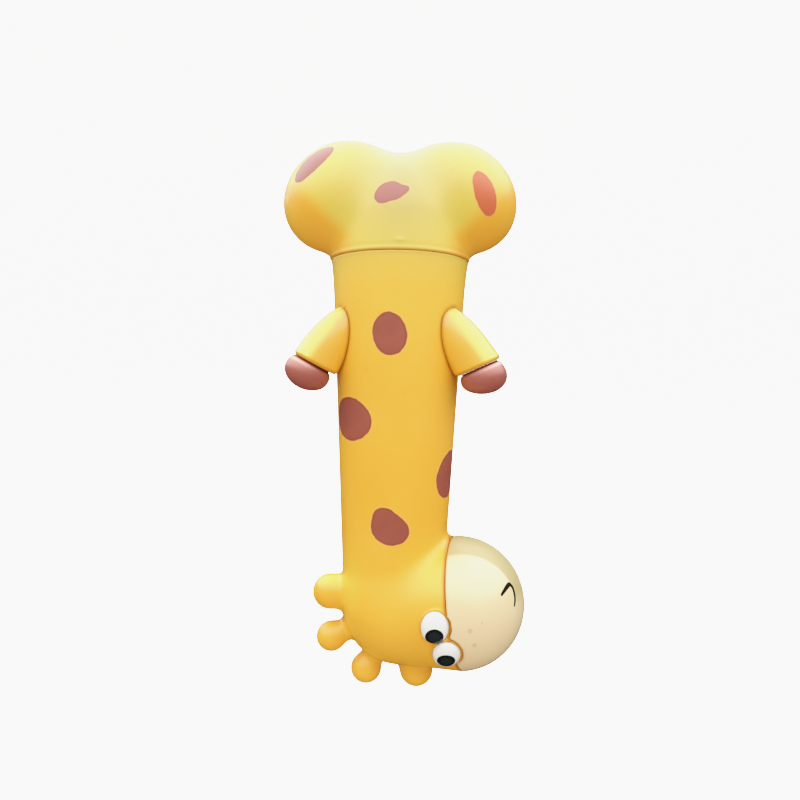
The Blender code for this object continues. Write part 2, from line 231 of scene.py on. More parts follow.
# On a hoof's outer side: how high above its sole the pink painted highlight reaches and fades, and the band
# of the pale painted highlight along its edge.
ROSE_HIGHLIGHT_HEIGHT, ROSE_HIGHLIGHT_FADE = 1.6 * MM, 1.7 * MM
EDGE_HIGHLIGHT_HEIGHT, EDGE_HIGHLIGHT_WIDTH = 0.9 * MM, 0.6 * MM

# Greenish-yellow highlights painted on the head where light from below falls: middle (x, height), half width,
# half height in millimetres, and the strongest share.
HIGHLIGHT_PATCHES = (
    (-14.0, 154.0, 11.0, 10.0, 0.45),
    (26.0, 159.5, 8.0, 2.2, 0.9),
    (17.5, 158.0, 3.5, 9.0, 0.4),
)

# Paint on the muzzle's ball: angle from straight ahead towards +X, rise, and half width or radius in
# millimetres. The smile runs from its thin end down, round and up to its thick end.
SMILE = (
    (-50.7, -7.4, 0.42),
    (-52.7, -12.2, 0.56),
    (-53.6, -16.7, 0.64),
    (-53.3, -21.5, 0.66),
    (-51.6, -24.2, 0.70),
    (-49.6, -25.1, 0.76),
    (-47.0, -24.4, 0.80),
    (-43.6, -22.9, 0.73),
    (-39.1, -20.4, 0.59),
    (-36.2, -18.4, 0.46),
)
SMILE_MIDDLE = (-45.5, -18.5)
CREAM_COAT = 0.55
NOSTRILS = ((-10.5, 21.6, 0.5), (-5.7, 8.5, 0.55))
FLECK = (-15.5, 2.3, 0.22)

# How fine the surfaces are: rows and columns of points, or points in each ring.
BASE_GRID, MUZZLE_GRID, EYE_GRID = (210, 300), (220, 400), (70, 96)
ARM_COUNT, HOOF_COUNT, PAPER_COUNT = 128, 120, 96
HALVINGS = 30

# How the muzzle's rays are spaced: share of the rows and degrees from its axis, then share of the columns
# and radians from the smile.
MUZZLE_ROWS = ((0.0, 0), (0.07, 18), (0.11, 26), (0.55, 58), (0.74, 86), (0.90, 105), (1.0, 180))
MUZZLE_COLUMNS = ((0.0, -np.pi), (0.3, -0.42), (0.7, 0.42), (1.0, np.pi))

# The body's net: its height of cell by the seam, and how far its finer cells reach past the seam, below the
# chin and round the eyes.
SEAM_CELL = 0.4 * MM
SEAM_MARGIN, CHIN_MARGIN, EYE_MARGIN = 4 * MM, 2 * MM, 7 * MM

# The rings that close an arm, as shares of its root's and its end face's radius.
ARM_ROOT_RINGS = (0.15, 0.4, 0.65, 0.85, 0.95)
ARM_END_RINGS = (0.75, 0.5, 0.25, 0.06)

# The studio, in metres: the paper's flat radius, its bend's radius and its wall, and the camera's place.
PAPER_FLAT = 0.6
PAPER_BEND = 0.5
PAPER_WALL_RADII, PAPER_WALL_HEIGHTS = (1.1, 1.1), (0.9, 1.4)
CAMERA_PLACE = (0.99 * MM, -289.1 * MM, 93.5 * MM)

# The light panels: middle, width and depth, degrees that each is tipped from shining down, how bright, tint.
# They shine on the skins only, not in their gloss. The low one lies below the floor, which lets light by.
PANELS = {
    "low_light": ((0.0, -0.65, -0.40), (3.2, 2.3), 180.0, 1.75, (0.94, 1.0, 0.92)),
    "high_light": ((0.0, -0.7, 1.0), (1.8, 1.4), 30.0, 0.78, (1.0, 0.83, 0.52)),
}

# The sheet seen in gloss: its corners from the front edge on, its height, and where it is brightest.
GLEAM_CORNERS = ((-1.6, -2.2), (1.8, -2.2), (1.8, 2.0), (0.4, 0.5), (-1.6, 0.5))
GLEAM_HEIGHT = -0.40
GLEAM_FULL = -0.35

# The tone of the picture: brightness in and out. Past the second point the highlights are held back.
TONE = ((0.0, 0.0), (0.78, 0.78), (0.95, 0.865), (1.15, 0.888), (2.0, 0.91), (3.2, 0.945))


# ---- fields ----


def smooth_min(a, b, blend):
    """The smaller of two fields, with a fillet about as wide as blend where they meet."""
    share = np.clip(0.5 + 0.5 * (b - a) / blend, 0.0, 1.0)
    return b + (a - b) * share - blend * share * (1.0 - share)


def smooth_max(a, b, blend):
    """The larger of two fields, with a rounded edge where they meet."""
    return -smooth_min(-a, -b, blend)


def smooth_step(value, low, high):
    """0 up to low, 1 from high on, and a smooth rise between."""
    share = np.clip((value - low) / (high - low), 0.0, 1.0)
    return share * share * (3.0 - 2.0 * share)


def bell(value, middle, width):
    """1 at the middle, and less on both sides: e to the power of minus the squared distance in widths."""
    return np.exp(-(((value - middle) / width) ** 2))


def near(distance, width):
    """1 at no distance, fading to 0 a few widths away."""
    return np.exp(-np.maximum(distance, 0.0) / width)


def nearest(field, points, places):
    """The least of a field at each of several places."""
    return np.min([field(points, place) for place in places.values()], axis=0)


def ball(points, centre, radius):
    return np.linalg.norm(points - np.asarray(centre), axis=-1) - radius


def bar(points, start, end, radius):
    """A bar with round ends: the distance to a line from start to end, less the radius."""
    start, run = np.asarray(start), np.asarray(end) - np.asarray(start)
    share = np.clip((points - start) @ run / (run @ run), 0.0, 1.0)
    return np.linalg.norm(points - start - share[..., None] * run, axis=-1) - radius


def egg(points, sizes):
    """An ellipsoid about the origin: k (k - 1) / m, with k and m the lengths of p / r and p / r squared."""
    k = np.linalg.norm(points / sizes, axis=-1)
    m = np.linalg.norm(points / sizes**2, axis=-1)
    return k * (k - 1.0) / np.maximum(m, 1e-9)


def off_axis(points):
    """How far points are from the column's axis."""
    return np.hypot(points[..., 0] - AXIS_X, points[..., 1] - AXIS_Y)


def column_radius(height):
    """A straight taper, plus the flare, which fades above the seam."""
    rise = height - SEAM_HEIGHT
    return COLUMN_RADIUS - COLUMN_TAPER * rise + SEAM_FLARE * near(rise, SEAM_FLARE_HEIGHT)


def column(points):
    return off_axis(points) - column_radius(points[..., 2])


def lobe_centre(side):
    """The middle of the lobe on a side, or of the hips for side 0."""
    if side == 0:
        return HIPS
    return np.array((LOBES_X + side * LOBE_SPREAD, AXIS_Y, LOBE_HEIGHTS[side]))


def base_shape(points):
    """Hips, stub and lobes blended, with the bead, the dip and, in front only, the nub, and rounded at the
    soles and at the seam. The stub's radius goes from the hips' to the column's with the height squared."""
    z, hip_height = points[..., 2], HIPS[2]
    rise = np.clip((z - hip_height) / (SEAM_HEIGHT - hip_height), 0.0, 1.2)
    stub = off_axis(points) - HIP_RADIUS + (HIP_RADIUS - COLUMN_RADIUS - SEAM_FLARE) * rise**2
    stub = np.maximum(stub, np.maximum(hip_height - z, z - SEAM_HEIGHT - LOBE_BLEND))
    field = np.minimum(ball(points, HIPS, HIP_RADIUS), stub)
    for side in LOBE_HEIGHTS:
        c, s = math.cos(LOBE_TILT), side * math.sin(LOBE_TILT)
        turn = np.array(((c, 0, s), (0, 1, 0), (-s, 0, c)))
        field = smooth_min(field, egg((points - lobe_centre(side)) @ turn.T, LOBE_SIZES), LOBE_BLEND)
    below = SEAM_HEIGHT - z
    bead, dip, nub = (out * bell(below, middle, width) for out, middle, width in (BEAD, DIP, NUB))
    nub = nub * bell(points[..., 0], AXIS_X, NUB_REACH) * (points[..., 1] < AXIS_Y)
    field = smooth_max(field + INSET - bead - dip - nub, -z, SOLE_EDGE)
    return smooth_max(field, z - SEAM_HEIGHT + JOINT / 2, EDGE)


def head(points):
    """A ball carried from the head's centre past the rim's, while its radius grows to the rim's."""
    run = RIM_CENTRE - HEAD_CENTRE
    share = np.clip((points - HEAD_CENTRE) @ run / (run @ run), 0.0, HEAD_END)
    centre = HEAD_CENTRE + share[..., None] * run
    return np.linalg.norm(points - centre, axis=-1) - HEAD_RADIUS - share * (RIM_RADIUS - HEAD_RADIUS)


def knobs(points):
    """Each knob is a bar that ends in a ball, the two blended."""
    field = np.full(points.shape[:-1], FAR)
    for x, z, end_radius, neck_radius in np.array(KNOBS) * MM:
        end = np.array((x, AXIS_Y, z))
        axis = end - HEAD_CENTRE if z > HEAD_CENTRE[2] else RIGHT
        axis = axis / np.linalg.norm(axis)
        spare = end_radius - neck_radius
        neck = bar(points, end - KNOB_LENGTH * axis, end - spare * axis, neck_radius)
        field = np.minimum(field, smooth_min(ball(points, end, end_radius), neck, max(spare, 0.02 * MM)))
    return field


def eye_frame(eye):
    """Rows of width along the head, height round it and outwards, and the eye's centre on the head."""
    share = (HEAD_CENTRE[0] - eye.x) / (HEAD_CENTRE[0] - RIM_CENTRE[0])
    outwards = direction(0.0, eye.angle)
    radius = HEAD_RADIUS + share * (RIM_RADIUS - HEAD_RADIUS)
    centre = HEAD_CENTRE + share * (RIM_CENTRE - HEAD_CENTRE) + radius * outwards
    return np.array((RIGHT, np.cross(outwards, RIGHT), outwards)), centre


def eye_field(points, eye, extra=0.0):
    turn, centre = eye_frame(eye)
    return egg((points - centre) @ turn.T - (0.0, 0.0, EYE_RAISE), EYE_SIZES) - extra


def lid_field(points, eye, extra=0.0):
    """A low egg round the eye, wider and moved over on the muzzle's side."""
    turn, centre = eye_frame(eye)
    over = eye.lid_wider / 2
    sizes = np.array((EYE_SIZES[0] + LID_RIM + over, EYE_SIZES[1] + LID_RIM, LID_BULGE))
    return egg((points - centre) @ turn.T + (over, 0.0, 0.0), sizes) - extra


def body_shape(points):
    """Column, head, crest and lids blended, less the muzzle's seat and the eyes' pockets, edges rounded."""
    z = points[..., 2]
    neck = smooth_max(column(points), z - HEAD_CENTRE[2] - NECK_TOP, NECK_ROUNDING)
    field = smooth_min(neck, head(points), HEAD_BLEND)
    field = smooth_min(field, knobs(points), KNOB_BLEND)
    seat = (points - RIM_CENTRE) @ MUZZLE_AXIS + JOINT / 2
    field = smooth_max(field, np.minimum(seat, z - CHIN_HEIGHT), EDGE)
    for eye in EYES.values():
        field = smooth_min(field, lid_field(points, eye), LID_BLEND)
    for eye in EYES.values():
        field = smooth_max(field, -eye_field(points, eye, POCKET_GAP), POCKET_EDGE)
    return smooth_max(field, SEAM_HEIGHT + JOINT / 2 - z, EDGE)


def muzzle_shape(points):
    """A ball with its back cut flat and its rim rounded, hollowed round the lids and the eyes."""
    field = ball(points, MUZZLE_CENTRE, MUZZLE_RADIUS)
    field = smooth_max(field, JOINT / 2 - (points - RIM_CENTRE) @ MUZZLE_AXIS, 2 * EDGE)
    for eye in EYES.values():
        field = smooth_max(field, -lid_field(points, eye, LID_GAP), EDGE)
        field = smooth_max(field, -eye_field(points, eye, JOINT), EDGE)
    return field


def slope(field, points, step=0.02 * MM):
    """The direction in which a field grows fastest, from differences either side of each point."""
    grown = [field(points + axis) - field(points - axis) for axis in np.eye(3) * step]
    return np.stack(grown, axis=-1) / (2 * step)


def settle(field, points, rounds=3, longest=0.3 * MM):
    """Points moved onto the surface: back along the slope by field over slope squared, a few times."""
    for _ in range(rounds):
        push = slope(field, points)
        share = field(points) / np.maximum((push**2).sum(axis=-1), 0.25)
        points = points - np.clip(share, -longest, longest)[..., None] * push
    return points


def halve(inside, low, high):
    """The places between low and high where a test stops being true, found by halving."""
    for _ in range(HALVINGS):
        half = (low + high) / 2
        holds = inside(half)
        low, high = np.where(holds, half, low), np.where(holds, high, half)
    return low


def cast(field, start, directions):
    """The points where rays from inside the shape leave it."""
    none = np.zeros(directions.shape[:-1])
    share = halve(lambda far: field(start + far[..., None] * directions) < 0, none, none + REACH)
    return start + share[..., None] * directions


# ---- meshes ----


def ring(angles):
    """Unit directions at angles round +Z, one row for each."""
    return np.stack((np.cos(angles), np.sin(angles), np.zeros(len(angles))), axis=1)


def circle(count):
    return ring(np.arange(count) * 2 * np.pi / count)


def stack_rings(radii, heights, flat):
    """A flat unit ring, scaled to each radius and lifted to each height."""
    rings = radii[:, None, None] * flat
    rings[..., 2] = heights[:, None]
    return rings


def globe(rows, count):
    """Unit directions in rings from nearly straight down to nearly straight up, and the two ends."""
    rise = (np.arange(1, rows + 1) / (rows + 1) - 0.5) * np.pi
    return stack_rings(np.cos(rise), np.sin(rise), circle(count)), -UP, UP


def along(axis):
    """A rotation whose columns are X, Y and Z of a frame with +Z along an axis."""
    z_axis = np.array(axis) / np.linalg.norm(axis)
    x_axis = np.cross((0.0, 1.0, 0.0), z_axis)
    x_axis = x_axis / np.linalg.norm(x_axis)
    return np.stack((x_axis, np.cross(z_axis, x_axis), z_axis), axis=1)


def ring_surface(rings, first, last):
    """Points and faces: quads between rings of points, and a fan of triangles to a first and a last point."""
    rows, count = rings.shape[:2]
    points = np.concatenate((rings.reshape(-1, 3), np.array((first, last))))
    lower = np.arange((rows - 1) * count).reshape(rows - 1, count)
    right = np.roll(lower, -1, axis=1)
    quads = np.stack((lower, right, right + count, lower + count), axis=-1).reshape(-1, 4)
    here = np.arange(count)
    beside, top = np.roll(here, -1), (rows - 1) * count
    start = np.stack((beside, here, np.full(count, rows * count)), axis=1)
    end = np.stack((top + here, top + beside, np.full(count, rows * count + 1)), axis=1)
    return points, quads.tolist() + start.tolist() + end.tolist()


def cast_surface(field, centre, directions, first, last):
    """The surface where rays from a centre leave a shape: rings of them, and one to each end."""
    ends = cast(field, centre, np.array((first, last)))
    return ring_surface(cast(field, centre, directions), *ends)


def spaced(*stops):
    """Places along an axis: from each stop to the next, in even steps about as wide as the stop asks."""
    runs = []
    for (start, step), (end, _) in zip(stops, stops[1:]):
        runs.append(np.linspace(start, end, max(1, math.ceil((end - start) / step)), endpoint=False))
    return np.concatenate((*runs, [stops[-1][0]]))


def unpinch(values):
    """Where a grid square's corners lie inside and outside by turns, its outside ones are counted inside,
    so that every edge of the net joins just two faces."""
    for _ in range(4):
        for axis in range(3):
            slab = np.moveaxis(values, axis, 0)
            corners = (slab[:, :-1, :-1], slab[:, 1:, :-1], slab[:, 1:, 1:], slab[:, :-1, 1:])
            a, b, c, d = (corner < 0 for corner in corners)
            turns = (a == c) & (b == d) & (a != b)
            for corner in corners:
                corner[turns] = np.minimum(corner[turns], -0.001 * MM)


def net(field, axes):
    """A closed net of quads on a grid of cells: each cell that the surface crosses gets a point at the
    mean of the places where its edges cross it, and each crossed edge joins its four cells' points."""
    around = ((0, 0), (1, 0), (1, 1), (0, 1))
    grid = np.stack(np.meshgrid(*axes, indexing="ij"), axis=-1)
    values = np.concatenate([field(slab) for slab in np.array_split(grid, 24)])
    unpinch(values)
    cells = tuple(n - 1 for n in values.shape)
    total, hits = np.zeros(cells + (3,)), np.zeros(cells)
    crossings = []
    for axis in range(3):
        value, place, sums, counts = (np.moveaxis(a, axis, 0) for a in (values, grid, total, hits))
        a, b = value[:-1], value[1:]
        crossed = (a < 0) != (b < 0)
        share = np.where(crossed, a / np.where(crossed, a - b, 1.0), 0.0)[..., None]
        place = (place[:-1] + share * (place[1:] - place[:-1])) * crossed[..., None]
        for down, left in around:
            beside = (slice(None), slice(down, down + sums.shape[1]), slice(left, left + sums.shape[2]))
            sums += place[beside]
            counts += crossed[beside]
        crossings.append((crossed, a < 0))
    used = hits > 0
    index = np.full(cells, -1)
    index[used] = np.arange(used.sum())
    faces = []
    for axis, (crossed, inwards) in enumerate(crossings):
        i, j, k = np.nonzero(crossed[:, 1:-1, 1:-1])
        cell = np.moveaxis(index, axis, 0)
        quads = np.stack([cell[i, j + down, k + left] for down, left in around], axis=1)
        flip = inwards[i, j + 1, k + 1] == (axis == 1)
        quads[flip] = quads[flip][:, ::-1]
        faces += quads.tolist()
    return total[used] / hits[used][:, None], faces


def link_object(name, data, matrix=None):
    """A new object in the scene, placed by a matrix or left at the origin."""
    obj = bpy.data.objects.new(name, data)
    bpy.context.scene.collection.objects.link(obj)
    if matrix is not None:
        obj.matrix_world = matrix
    return obj


def mesh_object(name, points, faces, marks=None):
    """An object at the origin from points and faces, shaded smooth. Marks are numbers kept at its points."""
    mesh = bpy.data.meshes.new(name)
    mesh.from_pydata(points.tolist(), [], faces)
    for mark, values in (marks or {}).items():
        layer = mesh.attributes.new(mark, "FLOAT", "POINT")
        layer.data.foreach_set("value", np.asarray(values, np.float32))
    mesh.shade_smooth()
    return link_object(name, mesh)


def make_piece(name, node, surface, marks, material):
    """A finished piece, which stands for a solid and takes the material it is given."""
    piece = mesh_object(name, *surface, marks)
    piece.data.materials.append(material)
    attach(piece, "root")
    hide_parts(node)


# ---- marks on the surfaces ----


def blob(points, centre, normal, half_width, half_height, lean, shift=(0.0, 0.0)):
    """How far points are outside an ellipse drawn on the plane that touches the surface at centre. Its
    half sizes and its shift are in millimetres, and its lean is in degrees."""
    across = np.cross(UP, normal)
    across = across / np.linalg.norm(across)
    up = np.cross(normal, across)
    gap = points - centre
    u, v = gap @ across - shift[0] * MM, gap @ up - shift[1] * MM
    c, s = math.cos(lean * DEGREE), math.sin(lean * DEGREE)
    sizes = np.array((half_width, half_height)) * MM
    flat = egg(np.stack((u * c + v * s, v * c - u * s), axis=-1), sizes)
    return np.maximum(flat, np.abs(gap @ normal) - 0.7 * sizes.max() - 2 * MM)


def spot_mark(points, spots):
    """The distance outside the nearest spot. A spot may be two blobs blended."""
    found = np.full(len(points), FAR)
    for centre, normal, half_width, half_height, lean, *second in spots:
        one = blob(points, centre, normal, half_width, half_height, lean)
        for *shift, more_width, more_height in second:
            other = blob(points, centre, normal, more_width, more_height, lean, shift)
            one = smooth_min(one, other, SPOT_BLEND)
        found = np.minimum(found, one)
    return found


def column_spots():
    """Each spot's middle lies on the column's side, at its angle and height."""
    for angle, height, *shape in COLUMN_SPOTS:
        normal, height = direction(angle), height * MM
        yield np.array((AXIS_X, AXIS_Y, height)) + column_radius(height) * normal, normal, *shape


def base_spots():
    """Each spot's middle is where a ray from its lobe's middle leaves the base."""
    for side, angle, elevation, *shape in BASE_SPOTS:
        normal = direction(angle, elevation)
        yield cast(base_shape, lobe_centre(side), normal[None])[0], normal, *shape


def grooves(*lines):
    """The strongest of several dark lines of painted shade along joints: for each the distance from it, how
    strong it is, and how far in millimetres it stays at its strongest and then takes to fade."""
    return np.max([most * near(gap - full * MM, fade * MM) for gap, most, full, fade in lines], axis=0)


def face_place(angle, rise):
    """A point on the muzzle's ball, at an angle from straight ahead and a rise, in degrees."""
    return MUZZLE_CENTRE + MUZZLE_RADIUS * direction(angle, rise)


def smooth_run(steps, values):
    """A smooth curve through evenly spaced values: cubic pieces whose slopes join their neighbours'."""
    slopes = np.gradient(values)
    index = np.clip(steps.astype(int), 0, len(values) - 2)
    t = steps - index
    a, b, ma, mb = values[index], values[index + 1], slopes[index], slopes[index + 1]
    t2, t3 = t * t, t * t * t
    return (2 * t3 - 3 * t2 + 1) * a + (t3 - 2 * t2 + t) * ma + (3 * t2 - 2 * t3) * b + (t3 - t2) * mb


def face_marks(points):
    """Distances from the smile's stroke, the nostril dots and the fleck."""
    steps = np.linspace(0, len(SMILE) - 1, 60)
    turn, rise, half = (smooth_run(steps, np.array(row)) for row in zip(*SMILE))
    places = [face_place(*place) for place in zip(turn, rise)]
    widths = (half[:-1] + half[1:]) / 2 * MM
    smile = np.full(len(points), FAR)
    for start, end, width in zip(places, places[1:], widths):
        smile = np.minimum(smile, bar(points, start, end, width))
    dots = [ball(points, face_place(angle, rise), radius * MM) for angle, rise, radius in NOSTRILS]
    fleck = ball(points, face_place(*FLECK[:2]), FLECK[2] * MM)
    return {"smile": smile, "dot": np.min(dots, axis=0), "fleck": fleck}


def head_highlights(points):
    """Where a greenish-yellow highlight is painted on the head's skin: soft ovals by the muzzle, under the
    last knob and on the nape.
    """
    x, z = points[:, 0] / MM, points[:, 2] / MM
    ovals = [
        most * bell(x, mid_x, half_width) * bell(z, mid_z, half_height)
        for mid_x, mid_z, half_width, half_height, most in HIGHLIGHT_PATCHES
    ]
    return np.sum(ovals, axis=0)


# ---- the arms ----


def arm_frame(arm, lean):
    """The rotation and origin of a frame at the arm's end, whose +Z points outwards and up at a lean."""
    out, y, height = arm.end
    turn = along((arm.side * math.cos(lean * DEGREE), 0.0, math.sin(lean * DEGREE)))
    return turn, np.array((AXIS_X + arm.side * out, y, height))


def arm_radius(arm, back):
    """The arm's radius at distances back from its end face: straight, then an ellipse's quarter."""
    share = np.clip((back - arm.root_start) / (arm.root_end - arm.root_start), 0.0, 1.0)
    return (ARM_END_RADIUS + math.tan(ARM_FLARE) * back) * np.sqrt(np.maximum(1.0 - share**2, 0.0))


def arm_slant(arm):
    return math.tan((arm.face_lean - arm.lean) * DEGREE) * arm.side


def arm_place(points, arm):
    """Where points lie in the arm's frame, and how far back from its slanting end face."""
    turn, end = arm_frame(arm, arm.lean)
    local = (points - end) @ turn
    return local, local[..., 0] * arm_slant(arm) - local[..., 2]


def arm_gap(points, arm):
    """How far points are from the arm's surface."""
    local, back = arm_place(points, arm)
    side = np.hypot(local[..., 0], local[..., 1]) - arm_radius(arm, back)
    return np.abs(np.maximum(side, -back))


def arm_surface(arm, count):
    """Wall and end disc of an arm: rings about its axis, sheared so that the end slants. Lines along the arm
    from the end find the root on the column, and the wall's rings are spaced evenly up from it."""
    turn, end = arm_frame(arm, arm.lean)
    flat = circle(count)[:, :2]

    def place(cross, back):
        """Points at given places across the arm, back from its slanting end."""
        z = cross[..., 0] * arm_slant(arm) - back
        return end + np.concatenate((cross, z[..., None]), axis=-1) @ turn.T

    def wall(back):
        return place(flat * arm_radius(arm, back)[:, None], back)

    def middle(back):
        return place(np.zeros((1, 2)), np.full(1, back))[0]

    start = np.zeros(count)
    length = halve(lambda back: column(wall(back)) > GAP, start, start + arm.root_end)
    inner, root_ring = middle(length.mean()), wall(length)
    rings = [inner + (root_ring - inner) * share for share in ARM_ROOT_RINGS]
    for share in np.linspace(0.0, 1.0, 90)[:-1]:
        rings.append(wall(length * (1 - share) + ARM_EDGE * share))
    for bend in np.linspace(0.0, np.pi / 2, 12):
        radius = ARM_END_RADIUS - ARM_EDGE * (1 - math.cos(bend))
        rings.append(place(flat * radius, np.full(count, ARM_EDGE * (1 - math.sin(bend)))))
    for share in ARM_END_RINGS:
        rings.append(place(flat * (ARM_END_RADIUS - ARM_EDGE) * share, start))
    return ring_surface(np.array(rings), inner, middle(0.0))


# ---- materials ----


def put(tree, node, sockets):
    """Links or sets a node's sockets. A colour's first three numbers are taken."""
    for name, value in sockets.items():
        socket = node.inputs[name]
        if isinstance(value, bpy.types.NodeSocket):
            tree.links.new(value, socket)
        else:
            socket.default_value = (*value[:3], 1.0) if socket.type == "RGBA" else value


def add(tree, kind, sockets=None, **settings):
    """A shader node of a kind, with its settings, and its sockets linked or set."""
    made = tree.nodes.new("ShaderNode" + kind)
    for name, value in settings.items():
        setattr(made, name, value)
    put(tree, made, sockets or {})
    return made


def noise(tree, scale, detail=2.0, seed=0.0):
    """Noise on the object's own coordinates, moved along by the seed."""
    where = add(tree, "TexCoord").outputs["Object"]
    moved = add(tree, "VectorMath", {0: where, 1: (seed, seed * 1.7, -seed)}, operation="ADD")
    made = add(tree, "TexNoise", {"Vector": moved.outputs[0], "Scale": scale, "Detail": detail})
    return made.outputs[0]


def ramp(tree, value, low, high, start=0.0, end=1.0):
    """A value carried smoothly from start to end as it goes from low to high."""
    sockets = {"Value": value, "From Min": low, "From Max": high, "To Min": start, "To Max": end}
    return add(tree, "MapRange", sockets, interpolation_type="SMOOTHSTEP").outputs["Result"]


def patches(tree, scale, seed, low=0.3, high=0.7, start=0.0, end=1.0, detail=3.0):
    """Soft patches: noise of a scale and seed, carried from start to end as it goes from low to high."""
    return ramp(tree, noise(tree, scale, detail, seed), low, high, start, end)


def math_node(tree, operation, *values):
    return add(tree, "Math", dict(enumerate(values)), operation=operation).outputs[0]


def times(tree, a, b):
    return math_node(tree, "MULTIPLY", a, b)


def mix(tree, share, a, b):
    """Two colours mixed by a share."""
    return add(tree, "Mix", {0: share, 6: a, 7: b}, data_type="RGBA").outputs[2]


def mark(tree, name):
    return add(tree, "Attribute", attribute_name=name).outputs["Fac"]


def new_material(name):
    """A material with nodes, and its tree."""
    material = bpy.data.materials.new(name)
    material.use_nodes = True
    return material, material.node_tree


def vinyl(name, colour, props, subsurface, bump, coat, coat_roughness=0.15, sheen=0.5):
    """A soft vinyl or paint, with shade painted in where it slants away from the view, patchy in its satin
    and a little uneven. Its colour is a function of the tree and the settings, and gives a socket. Its bump
    is in millimetres."""
    material, tree = new_material(name)
    slant = add(tree, "LayerWeight", {"Blend": 0.5}).outputs["Facing"]
    skin = colour(tree, props)
    darker = add(tree, "HueSaturation", {"Value": 0.55, "Color": skin}).outputs["Color"]
    rough = props.roughness
    relief = math_node(tree, "MULTIPLY_ADD", noise(tree, 900.0, 2.0, 1.3), 0.12, noise(tree, 70.0, 1.0, 5.9))
    uneven = add(tree, "Bump", {"Strength": 0.35, "Distance": bump * MM, "Height": relief})
    sockets = {
        # Painted shade: darker where the surface turns away from the view.
        "Base Color": mix(tree, ramp(tree, slant, 0.78, 1.0), skin, darker),
        "Roughness": patches(tree, 45.0, 3.1, start=rough - 0.05, end=rough + 0.06),
        "Normal": uneven.outputs[0],
        "Subsurface Weight": subsurface,
        "Subsurface Radius": (1.0, 0.45, 0.15),
        "Subsurface Scale": 2.5 * MM,
        "Coat Weight": coat,
        "Coat Roughness": coat_roughness,
        "Specular IOR Level": sheen,
    }
    put(tree, tree.nodes["Principled BSDF"], sockets)
    return material


def yellow_colour(tree, props):
    """Yellow that varies gently, with orange shade painted along joints, highlights and sheen painted where
    light from below falls, and brown spots edged a little darker.
    """
    skin = mix(tree, patches(tree, 28.0, 0.4, 0.35, 0.65), props.light, props.deep)
    # The skin's own orange specks, in the colour of the painted shade along joints.
    skin = mix(tree, patches(tree, 260.0, 8.2, 0.70, 0.78, end=0.25, detail=2.0), skin, props.groove)
    # Painted highlight: greenish yellow where light from below falls.
    skin = mix(tree, mark(tree, "lemon"), skin, props.lemon)
    # Painted sheen: paler yellow where a bright reflection from below falls.
    skin = mix(tree, times(tree, mark(tree, "wash"), props.wash), skin, props.pale)
    # Painted shade: orange darkening along joints between parts.
    skin = mix(tree, mark(tree, "groove"), skin, props.groove)
    wander = patches(tree, 500.0, 2.2, 0.2, 0.8, -0.12 * MM, 0.12 * MM, detail=1.0)
    edge = math_node(tree, "ADD", mark(tree, "spot"), wander)
    brown = mix(tree, patches(tree, 120.0, 4.4), props.spot, props.spot_deep)
    rim = ramp(tree, edge, -1.1 * MM, -0.35 * MM)
    brown = mix(tree, times(tree, rim, 0.6), brown, props.spot_edge)
    # Painted sheen on the spots: paler pink brown where the sheen is painted.
    brown = mix(tree, times(tree, mark(tree, "wash"), props.spot_sheen_amount), brown, props.spot_sheen)
    brown = mix(tree, times(tree, mark(tree, "warm"), 0.8), brown, props.spot_warm)
    skin = mix(tree, ramp(tree, edge, 0.2 * MM, 0.9 * MM, 0.3, 0.0), skin, props.halo)
    return mix(tree, ramp(tree, edge, -0.2 * MM, 0.2 * MM), brown, skin)


def cream_colour(tree, props):
    """Cream that blushes towards the crown, with shade painted at its rim and along its lower edge, pinkish
    dots and a black smile painted on.
    """
    skin = mix(tree, patches(tree, 40.0, 0.9, 0.35, 0.65), props.light, props.deep)
    skin = mix(tree, mark(tree, "blush"), skin, props.blush)
    # Painted shade: a duller band along the lower rim, where the reflection of the light below stops.
    skin = mix(tree, mark(tree, "shade"), skin, props.shade)
    # Painted shade at the rim and round the lids.
    skin = mix(tree, times(tree, mark(tree, "groove"), 0.8), skin, props.groove)
    skin = mix(tree, ramp(tree, mark(tree, "dot"), -0.1 * MM, 0.7 * MM, 0.7, 0.0), skin, props.dot)
    skin = mix(tree, ramp(tree, mark(tree, "fleck"), 0.0, 0.35 * MM, 0.45, 0.0), skin, props.fleck)
    return mix(tree, ramp(tree, mark(tree, "smile"), -0.08 * MM, 0.1 * MM), props.ink, skin)


def brown_colour(tree, props):
    """Reddish brown in patches, with a pink highlight and a pale edge highlight painted low on the outside,
    and shade painted by the arm.
    """
    skin = mix(tree, patches(tree, 60.0, 2.6), props.light, props.deep)
    for layer in ("rose", "scuff", "groove"):
        skin = mix(tree, mark(tree, layer), skin, getattr(props, layer))
    return skin


def white_colour(tree, props):
    """White with greyer patches, shaded at its socket, and a black pupil with a lighter middle."""
    skin = mix(tree, patches(tree, 150.0, 6.1, end=0.35, detail=2.0), props.white, props.shade)
    skin = mix(tree, mark(tree, "groove"), skin, props.groove)
    rim = ramp(tree, mark(tree, "pupil"), -1.6 * MM, -0.5 * MM)
    pupil = mix(tree, rim, props.pupil_middle, props.pupil)
    return mix(tree, ramp(tree, mark(tree, "pupil"), -0.1 * MM, 0.1 * MM), pupil, skin)


def yellow_vinyl(name, coat=0.7, **finish):
    props = bpy.context.scene.giraffe_yellow
    return vinyl(name, yellow_colour, props, subsurface=0.12, bump=0.35, coat=coat, **finish)


